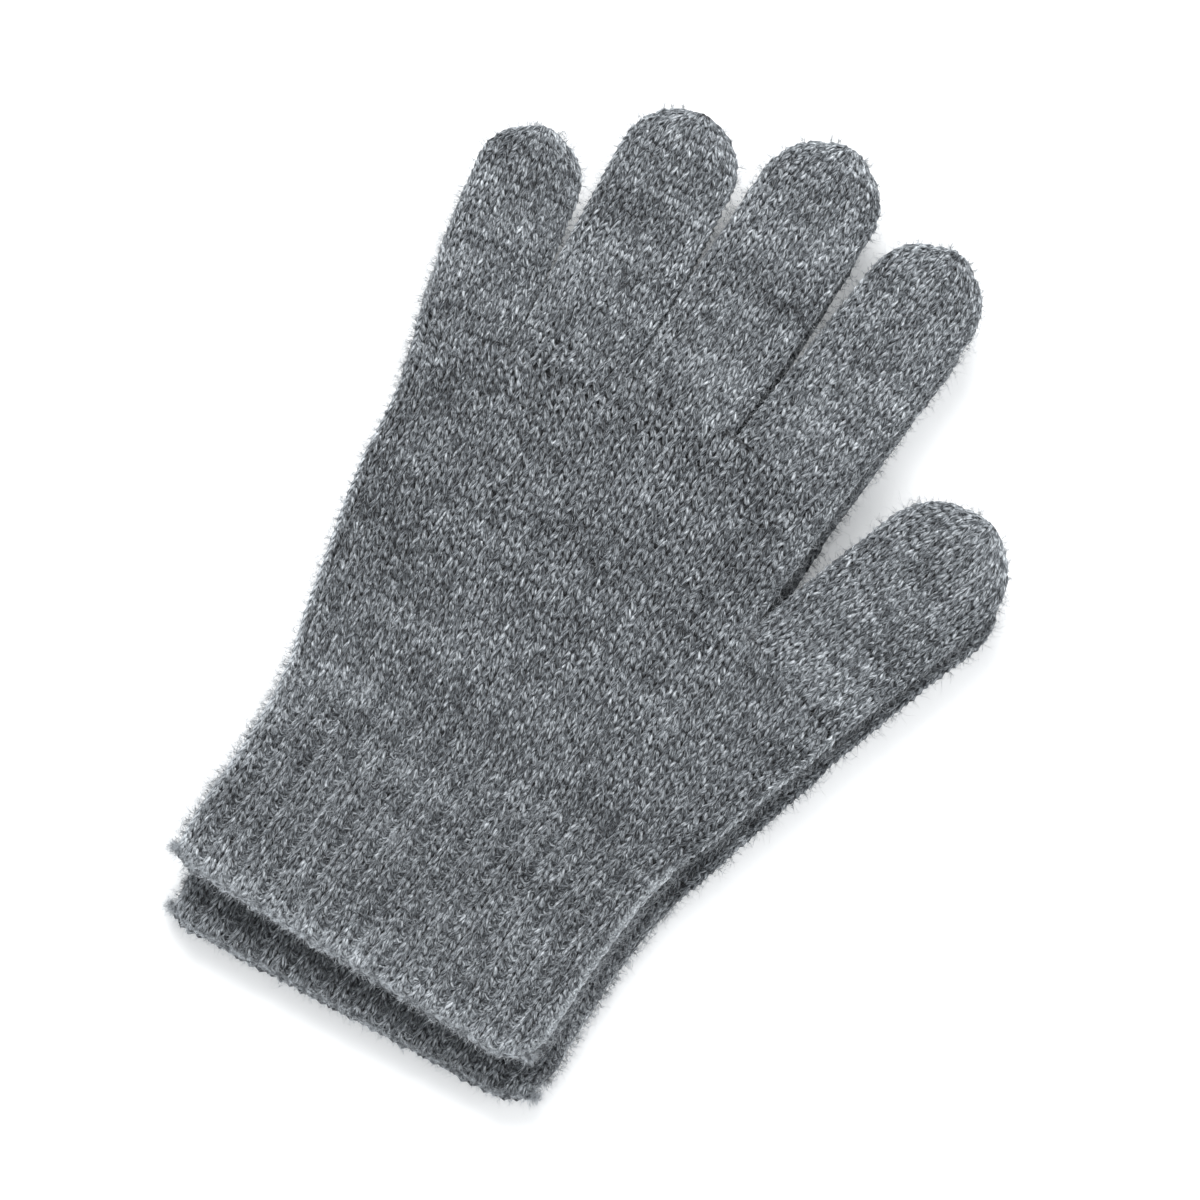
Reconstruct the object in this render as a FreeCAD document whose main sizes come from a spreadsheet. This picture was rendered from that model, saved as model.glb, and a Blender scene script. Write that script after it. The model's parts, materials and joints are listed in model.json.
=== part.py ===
import FreeCAD, Part
import os
import Sketcher
from FreeCAD import Placement, Rotation, Vector

# A pair of seamless knitted gloves, laid flat one on the other.
# +Y runs from the cuffs to the fingertips, +Z is up, and the thumbs point to +X.
# Each glove is a flattened hollow tube of plain knitting with a ribbed cuff. Its fingers are cut
# across at the root and half way along, because that is where they bend.

doc = FreeCAD.newDocument("KnittedGloves")

# Driving dimensions, in millimetres and degrees.

GENERAL = {
    "wall": 2.0,  # thickness of the fabric above and below the hollow
    "hollow": 4.6,  # height of the hollow between the two walls
    "side_wall": 2.6,  # fabric at the folded sides
    "side_round": 3.6,  # radius of the folded sides
    "bend_gap": 0.3,  # slit across a finger where it bends
    "finger_gap": 0.8,  # taken off a finger's width so that neighbours pass each other
    "web": 3.5,  # fabric between the hand's hollow and a finger's crotch
    "overrun": 1.0,  # how far a cutting outline runs past the edge that it cuts
    "cuff_half": 48.9,  # half the width of the flat cuff
    "cuff_top": 59.0,  # where the rib ends and the plain hand begins
    "edge_band": 3.0,  # height of the soft bound edge
    "elastic_first": 8.0,  # lowest elastic ring, above the cuff's edge
    "elastic_pitch": 4.2,
    "elastic_rings": 12,
    "elastic_wide": 0.7,
    "elastic_deep": 0.5,
    "foot_half": 50.8,  # half the hand's width just above the rib
    "left_mid_x": -58.9,
    "left_mid_y": 102.6,
    "left_high_x": -62.0,
    "left_high_y": 130.0,
    "right_low_x": 59.6,
    "right_low_y": 70.4,
    "right_mid_x": 65.3,
    "right_mid_y": 88.8,
}

# Each finger: the middle of its root, how far it leans to +X, its width at the root and along its
# length, and its length from root to tip.
FINGERS = {
    "thumb": {"x": 54.8, "y": 109.0, "lean": 19.0, "root": 33.7, "full": 33.2, "long": 58.4},
    "index": {"x": 27.2, "y": 150.6, "lean": 7.0, "root": 28.2, "full": 28.3, "long": 63.5},
    "middle": {"x": -1.8, "y": 152.0, "lean": 2.7, "root": 27.6, "full": 29.2, "long": 69.6},
    "ring": {"x": -28.95, "y": 148.0, "lean": -2.6, "root": 26.7, "full": 28.4, "long": 63.1},
    "little": {"x": -54.4, "y": 140.6, "lean": -8.0, "root": 23.4, "full": 25.8, "long": 49.2},
}

# Each glove: the middle of its cuff's edge, the height of its mid-plane and its turn about +Z.
GLOVES = {
    "lower": {"x": -1.274, "y": -114.435, "z": 4.3, "turn": 1.6},
    "upper": {"x": -7.274, "y": -105.735, "z": 13.2, "turn": 0.0},
}

sheet = doc.addObject("Spreadsheet::Sheet", "Sizes")


def fill_sheet():
    """Write every driving dimension into the sheet, each under its own alias."""
    cells = dict(GENERAL)
    for owner, sizes in list(FINGERS.items()) + list(GLOVES.items()):
        cells.update({f"{owner}_{key}": number for key, number in sizes.items()})
    for row, (alias, number) in enumerate(cells.items(), start=1):
        sheet.set(f"A{row}", alias)
        sheet.set(f"B{row}", str(number))
        sheet.setAlias(f"B{row}", alias)
    doc.recompute()


fill_sheet()


def size(alias):
    return float(sheet.get(alias))


THICK = "(2 * Sizes.wall + Sizes.hollow)"
thick = 2 * size("wall") + size("hollow")


# Sketches


def origin_plane(body, role):
    """The body's own origin plane with that role."""
    return next(feature for feature in body.Origin.OriginFeatures if feature.Role == role)


def new_sketch(body, name, role):
    sketch = body.newObject("Sketcher::SketchObject", name)
    sketch.AttachmentSupport = [(origin_plane(body, role), "")]
    sketch.MapMode = "FlatFace"
    return sketch


def bind(sketch, kind, edge, end, expression):
    """Hold one coordinate of a point of the sketch at an expression of the sheet."""
    index = sketch.addConstraint(Sketcher.Constraint(kind, edge, end, sketch.evalExpression(expression)))
    name = f"{kind}_{index}"
    sketch.renameConstraint(index, name)
    sketch.setExpression(f"Constraints.{name}", expression)


def corner_points(sketch, corners):
    return [Vector(sketch.evalExpression(x), sketch.evalExpression(y), 0) for x, y in corners]


def draw_polygon(sketch, corners):
    """A closed loop of straight sides through the corners, each a pair of expressions."""
    points = corner_points(sketch, corners)
    first = sketch.GeometryCount
    for number, start in enumerate(points):
        sketch.addGeometry(Part.LineSegment(start, points[(number + 1) % len(points)]), False)
    for number, (x, y) in enumerate(corners):
        following = first + (number + 1) % len(points)
        sketch.addConstraint(Sketcher.Constraint("Coincident", first + number, 2, following, 1))
        bind(sketch, "DistanceX", first + number, 1, x)
        bind(sketch, "DistanceY", first + number, 1, y)


def draw_fingertip(sketch, half, start, end):
    """A strip along +Y from start to end, closed by a half circle as wide as the strip."""
    shoulder = f"{end} - {half}"
    corners = [(half, shoulder), (f"-({half})", shoulder), (f"-({half})", start), (half, start)]
    points = corner_points(sketch, corners)
    top = Vector(0, sketch.evalExpression(end), 0)
    sketch.addGeometry(Part.Arc(points[0], top, points[1]), False)
    for number in (1, 2, 3):
        sketch.addGeometry(Part.LineSegment(points[number], points[(number + 1) % 4]), False)
    for number in (1, 2, 3):
        bind(sketch, "DistanceX", number, 1, corners[number][0])
        bind(sketch, "DistanceY", number, 1, corners[number][1])
    for number in (1, 2):
        sketch.addConstraint(Sketcher.Constraint("Coincident", number, 2, number + 1, 1))
    sketch.addConstraint(Sketcher.Constraint("Coincident", 0, 2, 1, 1))
    sketch.addConstraint(Sketcher.Constraint("Coincident", 3, 2, 0, 1))
    bind(sketch, "DistanceX", 3, 2, corners[0][0])
    bind(sketch, "DistanceY", 3, 2, corners[0][1])
    bind(sketch, "DistanceY", 0, 3, shoulder)


# Features


def new_body(name):
    body = doc.addObject("PartDesign::Body", name)
    body.Label = name
    return body


def pad_flat(body, sketch):
    """Thicken the outline by half the glove's thickness each way."""
    pad = body.newObject("PartDesign::Pad", body.Name + "_fabric")
    pad.Profile = sketch
    pad.SideType = "Symmetric"
    pad.setExpression("Length", THICK)
    doc.recompute()
    return pad


def hollow_out(body, sketch):
    """Cut the hollow between the two walls, from the mid-plane both ways."""
    pocket = body.newObject("PartDesign::Pocket", sketch.Name + "_hollow")
    pocket.Profile = sketch
    pocket.SideType = "Symmetric"
    pocket.setExpression("Length", "Sizes.hollow")
    doc.recompute()


def round_sides(body, pad, middles):
    """Round the upper and lower edges of the sides whose middles are given."""
    names = []
    for number, edge in enumerate(pad.Shape.Edges, start=1):
        middle = edge.valueAt((edge.FirstParameter + edge.LastParameter) / 2)
        on_rim = abs(abs(middle.z) - thick / 2) < 0.01
        if on_rim and any((Vector(middle.x, middle.y, 0) - wanted).Length < 0.01 for wanted in middles):
            names.append(f"Edge{number}")
    fillet = body.newObject("PartDesign::Fillet", body.Name + "_folded_sides")
    fillet.Base = (pad, names)
    fillet.setExpression("Radius", "Sizes.side_round")
    doc.recompute()


def side_middles(sketch, corners, sides):
    points = corner_points(sketch, corners)
    return [(points[side] + points[(side + 1) % len(points)]) * 0.5 for side in sides]


def on_finger(finger, across, along):
    """A point across and along a finger from the middle of its root, in the glove's plane."""
    lean = f"Sizes.{finger}_lean"
    x = f"Sizes.{finger}_x + ({across}) * cos({lean}) + ({along}) * sin({lean})"
    y = f"Sizes.{finger}_y - ({across}) * sin({lean}) + ({along}) * cos({lean})"
    return x, y


# The ribbed cuff, its bound edge and the elastic inside it


def strip_corners(half, low, high):
    return [(f"-({half})", low), (half, low), (half, high), (f"-({half})", high)]


def make_strip(name, low, high):
    """A flattened tube as wide as the cuff, from low to high, open at both ends."""
    body = new_body(name)
    outer = new_sketch(body, name + "_outline", "XY_Plane")
    corners = strip_corners("Sizes.cuff_half", low, high)
    draw_polygon(outer, corners)
    pad = pad_flat(body, outer)
    round_sides(body, pad, side_middles(outer, corners, (1, 3)))
    inner = new_sketch(body, name + "_inside", "XY_Plane")
    inside = "Sizes.cuff_half - Sizes.side_wall"
    draw_polygon(inner, strip_corners(inside, f"{low} - Sizes.overrun", f"{high} + Sizes.overrun"))
    hollow_out(body, inner)
    return body


def ring_sketch(body, name, with_hole):
    """The end view of an elastic ring, on the plane of the lowest ring."""
    sketch = new_sketch(body, name, "XZ_Plane")
    sketch.setExpression("AttachmentOffset.Base.z", "-Sizes.elastic_first")
    half = "Sizes.cuff_half - Sizes.side_wall"
    rise = "Sizes.hollow / 2"
    deep = "Sizes.elastic_deep"
    draw_polygon(sketch, strip_corners(f"{half} + {deep}", f"-({rise} + {deep})", f"{rise} + {deep}"))
    if with_hole:
        draw_polygon(sketch, strip_corners(half, f"-({rise})", rise))
    return sketch


def repeat_rings(body, feature):
    """Repeat the first ring along the cuff."""
    pattern = body.newObject("PartDesign::LinearPattern", body.Name + "_rows")
    pattern.Originals = [feature]
    axis = next(item for item in body.Origin.OriginFeatures if item.Role == "Y_Axis")
    pattern.Direction = (axis, [""])
    pattern.setExpression("Length", "Sizes.elastic_pitch * (Sizes.elastic_rings - 1)")
    pattern.setExpression("Occurrences", "Sizes.elastic_rings")
    body.Tip = pattern
    doc.recompute()


def make_cuff(glove):
    body = make_strip(f"{glove}_rib_cuff", "Sizes.edge_band", "Sizes.cuff_top")
    solid_volume = body.Shape.Volume
    groove = body.newObject("PartDesign::Pocket", f"{glove}_elastic_groove")
    groove.Profile = ring_sketch(body, f"{glove}_groove_outline", False)
    groove.setExpression("Length", "Sizes.elastic_wide")
    repeat_rings(body, groove)
    if body.Shape.Volume > solid_volume - 1:
        raise ValueError("the grooves for the elastic cut nothing")
    return body


def make_elastic(glove):
    """Covered elastic threads, one ring to a groove, flush with the inside of the cuff."""
    body = new_body(f"{glove}_cuff_elastic")
    body.AllowCompound = True
    pad = body.newObject("PartDesign::Pad", f"{glove}_elastic_ring")
    pad.Profile = ring_sketch(body, f"{glove}_elastic_outline", True)
    pad.setExpression("Length", "Sizes.elastic_wide")
    pad.Reversed = True
    repeat_rings(body, pad)
    return body


# The hand


def hand_corners():
    """The hand's outline, from the little finger's side of the rib round by way of the thumb."""
    corners = [("-Sizes.foot_half", "Sizes.cuff_top"), ("Sizes.foot_half", "Sizes.cuff_top")]
    corners += [("Sizes.right_low_x", "Sizes.right_low_y"), ("Sizes.right_mid_x", "Sizes.right_mid_y")]
    for finger in FINGERS:
        half = f"Sizes.{finger}_root / 2"
        corners += [on_finger(finger, half, "0"), on_finger(finger, f"-({half})", "0")]
    corners += [("Sizes.left_high_x", "Sizes.left_high_y"), ("Sizes.left_mid_x", "Sizes.left_mid_y")]
    return corners


def hand_inside():
    """The outline of the hand's hollow, below the webs between the fingers."""
    wall = "Sizes.side_wall"
    foot = f"Sizes.foot_half - {wall}"
    under_cuff = "Sizes.cuff_top - Sizes.overrun"
    corners = [(f"-({foot})", under_cuff), (foot, under_cuff)]
    corners += [(f"Sizes.right_low_x - {wall}", "Sizes.right_low_y")]
    corners += [(f"Sizes.right_mid_x - {wall}", "Sizes.right_mid_y")]
    for finger in ("thumb", "index"):
        half = f"Sizes.{finger}_root / 2 - {wall}"
        corners += [on_finger(finger, half, "-Sizes.web"), on_finger(finger, f"-({half})", "-Sizes.web")]
    half = f"Sizes.little_root / 2 - {wall}"
    corners += [on_finger("ring", "0", "-2 * Sizes.web"), on_finger("little", f"-({half})", "-Sizes.web")]
    corners += [(f"Sizes.left_high_x + {wall}", "Sizes.left_high_y")]
    corners += [(f"Sizes.left_mid_x + {wall}", "Sizes.left_mid_y")]
    return corners


def make_palm(glove):
    body = new_body(f"{glove}_palm")
    outer = new_sketch(body, f"{glove}_hand_outline", "XY_Plane")
    corners = hand_corners()
    draw_polygon(outer, corners)
    pad = pad_flat(body, outer)
    thumb_side = (1, 2, 3)
    little_side = (len(corners) - 3, len(corners) - 2, len(corners) - 1)
    round_sides(body, pad, side_middles(outer, corners, thumb_side + little_side))
    inner = new_sketch(body, f"{glove}_hand_inside", "XY_Plane")
    draw_polygon(inner, hand_inside())
    hollow_out(body, inner)
    for finger in FINGERS:
        channel = new_sketch(body, f"{glove}_{finger}_channel", "XY_Plane")
        half = f"Sizes.{finger}_root / 2 - Sizes.side_wall"
        low = "-3 * Sizes.web"
        high = "Sizes.overrun"
        ends = [(f"-({half})", low), (half, low), (half, high), (f"-({half})", high)]
        draw_polygon(channel, [on_finger(finger, across, along) for across, along in ends])
        hollow_out(body, channel)
    return body


# The fingers and thumbs, each in its own frame: +Y along the finger from the middle of its root


def make_finger_base(glove, finger):
    """The half next to the hand, open at both ends."""
    body = new_body(f"{glove}_{finger}_base")
    outer = new_sketch(body, body.Name + "_outline", "XY_Plane")
    root = f"(Sizes.{finger}_root - Sizes.finger_gap) / 2"
    full = f"(Sizes.{finger}_full - Sizes.finger_gap) / 2"
    low = "Sizes.bend_gap"
    high = f"Sizes.{finger}_long / 2 - Sizes.bend_gap / 2"
    corners = [(f"-({root})", low), (root, low), (full, high), (f"-({full})", high)]
    draw_polygon(outer, corners)
    pad = pad_flat(body, outer)
    round_sides(body, pad, side_middles(outer, corners, (1, 3)))
    inner = new_sketch(body, body.Name + "_inside", "XY_Plane")
    wall = "Sizes.side_wall"
    under = f"{low} - Sizes.overrun"
    over = f"{high} + Sizes.overrun"
    inside = [(f"-({root} - {wall})", under), (f"{root} - {wall}", under)]
    inside += [(f"{full} - {wall}", over), (f"-({full} - {wall})", over)]
    draw_polygon(inner, inside)
    hollow_out(body, inner)
    return body


def make_finger_tip(glove, finger):
    """The closed half with the round end, open where it meets the lower half."""
    body = new_body(f"{glove}_{finger}_tip")
    outer = new_sketch(body, body.Name + "_outline", "XY_Plane")
    full = f"(Sizes.{finger}_full - Sizes.finger_gap) / 2"
    low = f"Sizes.{finger}_long / 2 + Sizes.bend_gap / 2"
    end = f"Sizes.{finger}_long"
    draw_fingertip(outer, full, low, end)
    pad = pad_flat(body, outer)
    half = outer.evalExpression(full)
    start = outer.evalExpression(low)
    tip = outer.evalExpression(end)
    waist = (start + tip - half) / 2
    round_sides(body, pad, [Vector(half, waist, 0), Vector(-half, waist, 0), Vector(0, tip, 0)])
    inner = new_sketch(body, body.Name + "_inside", "XY_Plane")
    draw_fingertip(inner, f"({full} - Sizes.side_wall)", f"{low} - Sizes.overrun", f"{end} - Sizes.side_wall")
    hollow_out(body, inner)
    return body


# The pair


def glove_placement(glove):
    spot = Vector(size(f"{glove}_x"), size(f"{glove}_y"), size(f"{glove}_z"))
    return Placement(spot, Rotation(Vector(0, 0, 1), size(f"{glove}_turn")))


def finger_placement(glove, finger):
    root = Vector(size(f"{finger}_x"), size(f"{finger}_y"), 0)
    leaning = Placement(root, Rotation(Vector(0, 0, 1), -size(f"{finger}_lean")))
    return glove_placement(glove).multiply(leaning)


def make_glove(glove):
    pieces = [make_strip(f"{glove}_cuff_edge", "0", "Sizes.edge_band")]
    pieces += [make_cuff(glove), make_elastic(glove), make_palm(glove)]
    for piece in pieces:
        piece.Placement = glove_placement(glove)
    for finger in FINGERS:
        for piece in (make_finger_base(glove, finger), make_finger_tip(glove, finger)):
            piece.Placement = finger_placement(glove, finger)
            pieces.append(piece)
    return pieces


def check_document(pieces):
    """Stop if anything in the document failed to build."""
    for item in doc.Objects:
        if "Invalid" in item.State or "Error" in item.State:
            raise ValueError(f"{item.Name}: {item.State}")
    for piece in pieces:
        if piece.Shape.isNull() or not piece.Shape.isValid():
            raise ValueError(f"{piece.Label}: bad shape")


pieces = [piece for glove in GLOVES for piece in make_glove(glove)]
doc.recompute()
check_document(pieces)

os.makedirs("parts", exist_ok=True)
for piece in pieces:
    piece.Shape.exportStep(f"parts/{piece.Label}.step")

whole = Part.Compound([piece.Shape for piece in pieces]).BoundBox
print(f"{len(pieces)} pieces, about {whole.XLength:.0f} x {whole.YLength:.0f} x {whole.ZLength:.1f} mm")
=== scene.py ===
import json
import math
import bpy
import numpy as np
from mathutils import Matrix, Vector


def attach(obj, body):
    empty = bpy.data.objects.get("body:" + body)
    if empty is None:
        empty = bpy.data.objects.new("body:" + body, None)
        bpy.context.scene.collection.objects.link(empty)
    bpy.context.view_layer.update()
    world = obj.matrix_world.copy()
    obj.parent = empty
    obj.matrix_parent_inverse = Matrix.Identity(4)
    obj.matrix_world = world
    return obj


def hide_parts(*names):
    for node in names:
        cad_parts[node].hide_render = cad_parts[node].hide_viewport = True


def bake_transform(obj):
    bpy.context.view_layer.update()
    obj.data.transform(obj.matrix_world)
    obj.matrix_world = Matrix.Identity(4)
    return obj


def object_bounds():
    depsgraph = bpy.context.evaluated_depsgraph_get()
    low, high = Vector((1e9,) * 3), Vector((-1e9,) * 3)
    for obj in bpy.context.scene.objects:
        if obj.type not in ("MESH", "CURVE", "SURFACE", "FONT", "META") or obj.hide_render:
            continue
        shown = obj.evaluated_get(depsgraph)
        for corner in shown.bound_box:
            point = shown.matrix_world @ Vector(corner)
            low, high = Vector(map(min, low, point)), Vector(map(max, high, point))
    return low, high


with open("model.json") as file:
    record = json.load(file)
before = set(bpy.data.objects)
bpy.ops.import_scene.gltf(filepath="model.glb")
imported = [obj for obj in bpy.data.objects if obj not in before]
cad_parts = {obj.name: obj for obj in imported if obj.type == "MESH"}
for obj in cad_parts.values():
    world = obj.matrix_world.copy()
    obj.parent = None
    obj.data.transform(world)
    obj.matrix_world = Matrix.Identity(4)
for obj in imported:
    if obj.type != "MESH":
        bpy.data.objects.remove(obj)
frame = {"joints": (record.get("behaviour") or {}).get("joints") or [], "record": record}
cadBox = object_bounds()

# A pair of seamless knitted gloves, built course by course from real loops of yarn.
# Shapes are worked out in millimetres in each glove's own plane (x to the thumb, y to the fingertips,
# z up from the fold line) and go into the meshes in metres.

mm = 0.001
joints = {joint["name"]: joint for joint in frame["joints"]}
mounts = {mount["name"]: mount for mount in frame["record"]["mounts"]}

yarn = {
    "plies": 3,
    "plyOffset": 0.42,  # from the middle of the yarn to the middle of a ply
    "flatten": 0.86,  # squeezed between its neighbours, across the fabric
    "twistLength": 12.0,  # one turn of the plies
    "plyShift": 900.0,  # sets the plies far apart in the fibre pattern, so that no two match
    "radiusSpread": 0.09,
}

plainStitch = {
    "steps": 10,
    "sway": 0.23,  # how far the legs lean, in wales
    "reach": 0.98,  # half the loop's height, in courses
    "depth": 0.56,  # how far the legs stand in front of the heads
    "skew": -0.13,  # the twist of the yarn slants every loop a little
    "jitter": 0.12,
}

fabric = {
    "halfLoft": 2.95,  # from the fold line to the middle of the yarn layer
    "fingerCourse": 2.08,  # the height of one row of loops in a finger
    "unevenness": 0.22,
    "inset": 0.9,  # from a piece's outline to the middle of its outermost yarn
}

fingerShapes = {  # width at the root and along it, stitches round it, first course above the root,
    # and how far it drifts to the thumb's side of its own middle line: root, halfway, tip (the thumb's
    # differs between the gloves and is in styles)
    "thumb": {"root": 32.6, "full": 33.2, "stitches": 24, "first": 0.2},
    "index": {"root": 28.6, "full": 28.4, "stitches": 21, "first": -0.6, "drift": (0.0, 0.0, 0.2)},
    "middle": {"root": 28.0, "full": 29.4, "stitches": 21, "first": -0.9, "drift": (0.0, 0.0, 0.0)},
    "ring": {"root": 27.2, "full": 28.5, "stitches": 21, "first": 1.9, "drift": (0.0, 0.0, 0.0)},
    "little": {"root": 22.4, "full": 25.4, "stitches": 19, "first": -0.3, "drift": (0.8, 0.3, 0.0)},
}

styles = {
    "lower": {
        "thumbDrift": (-1.6, -0.9, 1.6),
        "rightTrim": 0.6,  # how much narrower it is on the thumb's side
        "edgeSlant": 0.022,
        "firstCourse": 0.3,  # from the cuff's mouth
        "foldHighlight": 0.3,  # painted highlight: how much paler the folds are painted, as if their rims catch the light
        "ply": {"sides": 3, "radius": 0.46},  # mostly hidden, so its plies are plainer
    },
    "upper": {
        "thumbDrift": (-0.9, -0.2, 0.5),
        "rightTrim": 0.0,
        "edgeSlant": 0.0,
        "firstCourse": 2.5,
        "foldHighlight": 1.0,
        "ply": {"sides": 4, "radius": 0.42},
    },
}

hand = {
    "leftEdge": [(-49.2, 0.0), (-48.6, 15.0), (-47.5, 34.0), (-47.6, 45.0), (-48.9, 55.0), (-51.0, 63.0),
                 (-53.6, 75.0), (-56.9, 91.0), (-58.9, 104.0), (-59.5, 115.0), (-60.4, 122.0), (-61.9, 130.0),
                 (-64.6, 139.5)],
    "rightEdge": [(48.6, 0.0), (48.0, 15.0), (48.8, 33.0), (50.4, 47.0), (53.2, 59.0), (57.4, 69.0),
                  (64.3, 88.8), (69.5, 103.8)],
    "thumbCrotch": (38.9, 114.5),
    "indexEdge": (41.3, 149.0),
    "middleIndexCrotch": (12.4, 152.0),
    "ringMiddleCrotch": (-15.6, 149.2),
    "littleRingCrotch": (-42.3, 142.0),
    "wide": {"foldReach": 5.0, "crown": 0.10},
}

cuff = {
    "height": 59.0,
    "courses": 27,
    "needles": 72,  # two knit and one purl, all the way round
    "ribbing": 0.85,  # how clearly the ribs stand out on the worn, relaxed cuff
    "ribRise": 0.14,
    "grooveDepth": 0.24,
    "squeeze": 0.13,  # how far the knit wales close over each purl wale, in wales
    "corner": {"reach": 8.0, "lift": 3.2, "inset": (0.9, 2.4), "fade": 16.0},  # the worn ends of the edge
}

print("stage 1: frame loaded, laying out the gloves")


def gloveBase(glove):
    mouth = mounts[f"{glove}_cuff_mouth"]
    alongY = -Vector(mouth["axis"])
    return Vector(mouth["pos_m"]), math.atan2(-alongY.x, alongY.y)


def toFrame(glove, points):
    origin, turn = gloveBase(glove)
    cos, sin = math.cos(turn), math.sin(turn)
    placed = np.empty_like(points)
    placed[:, 0] = points[:, 0] * cos - points[:, 1] * sin
    placed[:, 1] = points[:, 0] * sin + points[:, 1] * cos
    placed[:, 2] = points[:, 2]
    return placed * mm + np.array(origin)


def fingerFrame(glove, finger):
    # root point, lean and length of a finger in the glove's plane, read from its two hinges
    origin, turn = gloveBase(glove)
    root = Vector(joints[f"{glove}_{finger}_root"]["pos_m"]) - origin
    knuckle = Vector(joints[f"{glove}_{finger}_knuckle"]["pos_m"]) - origin
    unturn = Matrix.Rotation(-turn, 3, "Z")
    root = unturn @ root / mm
    knuckle = unturn @ knuckle / mm
    along = (knuckle - root).to_2d()
    return root.to_2d(), along.normalized(), 2 * along.length


def smooth(low, high, value):
    t = np.clip((value - low) / (high - low), 0, 1)
    return t * t * (3 - 2 * t)


def foldProfile(distance, reach):  # 0 on the fold, 1 from reach inwards, round between
    q = np.clip(distance / reach, 0, 1)
    return np.sqrt(np.maximum(1 - (1 - q) ** 2, 0))


def spread(count):  # -1 to 1, closer together near both folds
    return -np.cos(np.linspace(0, math.pi, count))


def closeLoop(x, y, z):
    # the upper face from the left fold to the right one, then the lower face back again
    top = np.stack([x, y, z], 1)
    under = np.stack([x, y, -z], 1)[::-1]
    return np.concatenate([top, under[1:]])


def arcLengths(loop):
    return np.concatenate([[0], np.cumsum(np.linalg.norm(np.diff(loop, axis=0), axis=1))])


# The hand, cuff included: one loop round the fabric for every row of stitches

def edgeAt(points, y):
    ys = [point[1] for point in points]
    xs = [point[0] for point in points]
    return float(np.interp(y, ys, xs))


def crotchDip(x, y, crotch, reach=4.2, slope=0.42):
    below = np.maximum(crotch[1] - y, 0) * slope
    return foldProfile(np.hypot(x - crotch[0], below), reach)


def handLoop(left, right, rowAt, dips, count=420):
    a = spread(count)
    x = left + (right - left) * (a + 1) / 2
    y = rowAt(x)
    distance = np.minimum(x - left, right - x)
    z = fabric["halfLoft"] * foldProfile(distance, hand["wide"]["foldReach"])
    z = z * (1 - hand["wide"]["crown"] * a ** 4)
    for crotch in dips:
        z = z * crotchDip(x, y, crotch)
    z = z + fabric["unevenness"] * np.sin(x / 11.0 + y / 17.0) * np.sin(y / 13.0 - x / 23.0) * (z > 1.5)
    return closeLoop(x, y, z)


def stretchMarks(loop, marks):
    # column number at every point of a loop, from a few (x on the upper face, column) marks
    arc = arcLengths(loop)
    half = len(loop) // 2
    total = 2 * marks[-1][1] - 2 * marks[0][1]
    xs = loop[:half + 1, 0]
    arcs = [0.0] + [float(np.interp(x, xs, arc[:half + 1])) for x, _ in marks[1:-1]] + [arc[half]]
    columns = [column for _, column in marks]
    top = np.interp(arc[:half + 1], arcs, columns)
    under = (2 * marks[-1][1] - top)[::-1]
    return np.concatenate([top, under[1:]]), total


gussetColumns = 31  # from the little finger's fold to the thumb's crotch
thumbColumnsLow = 5  # beyond that crotch, at the cuff
thumbColumnsHigh = 11  # and at the thumb's root


def cuffSections(glove):
    style = styles[glove]
    first = style["firstCourse"]
    corner = cuff["corner"]

    def sections(row, ownRow):
        y = first + row * (cuff["height"] - first) / cuff["courses"]
        wornAndHighlit = (1 - smooth(0, corner["fade"], y)) ** 2
        left = edgeAt(hand["leftEdge"], y) + fabric["inset"] + corner["inset"][0] * wornAndHighlit
        right = edgeAt(hand["rightEdge"], y) - fabric["inset"] - corner["inset"][1] * wornAndHighlit

        def rowAt(x):
            nearest = np.minimum(1.5 * (x - left), right - x)
            q = np.clip(1 - nearest / corner["reach"], 0, 1)
            slant = style["edgeSlant"] * x * (1 - y / cuff["height"])
            return y + slant + corner["lift"] * wornAndHighlit * q * q * np.where(x < 0, 0.6, 1.0)

        loop = handLoop(left, right, rowAt, [])
        columns, total = stretchMarks(loop, [(left, 0), (right, cuff["needles"] / 2)])
        return loop, columns, total

    return sections


lowPalm = {"courses": 25}
highPalm = {"courses": 12, "columns": 32, "littleDrop": 3.0, "dropFrom": 4}
threeFingerPalm = {"courses": 4, "top": 151.0, "ringDrop": 2.2, "indexDrop": 2.4}


def lowPalmSections(glove):
    trim = styles[glove]["rightTrim"]

    def sections(row, ownRow):
        crotchX, crotchY = hand["thumbCrotch"]
        share = row / lowPalm["courses"]
        y = cuff["height"] + (crotchY - cuff["height"]) * share
        rightY = cuff["height"] + (hand["rightEdge"][-1][1] - cuff["height"]) * share
        left = edgeAt(hand["leftEdge"], y) + fabric["inset"]
        right = edgeAt(hand["rightEdge"], rightY) - fabric["inset"] - trim * smooth(0, 0.4, share)

        def rowAt(x):
            return y - (y - rightY) * np.clip((x - crotchX) / (right - crotchX), 0, 1)

        loop = handLoop(left, right, rowAt, [hand["thumbCrotch"]])
        added = (thumbColumnsHigh - thumbColumnsLow) * max(ownRow, 0) / lowPalm["courses"]
        thumbColumns = thumbColumnsLow + int(round(added))
        marks = [(left, 0), (crotchX, gussetColumns), (right, gussetColumns + thumbColumns)]
        columns, total = stretchMarks(loop, marks)
        return loop, columns, total

    return sections


def rightOfPalm(y):
    low, high = hand["thumbCrotch"], hand["indexEdge"]
    return float(np.interp(y, [low[1], high[1]], [low[0], high[0]])) - 0.4


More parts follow.
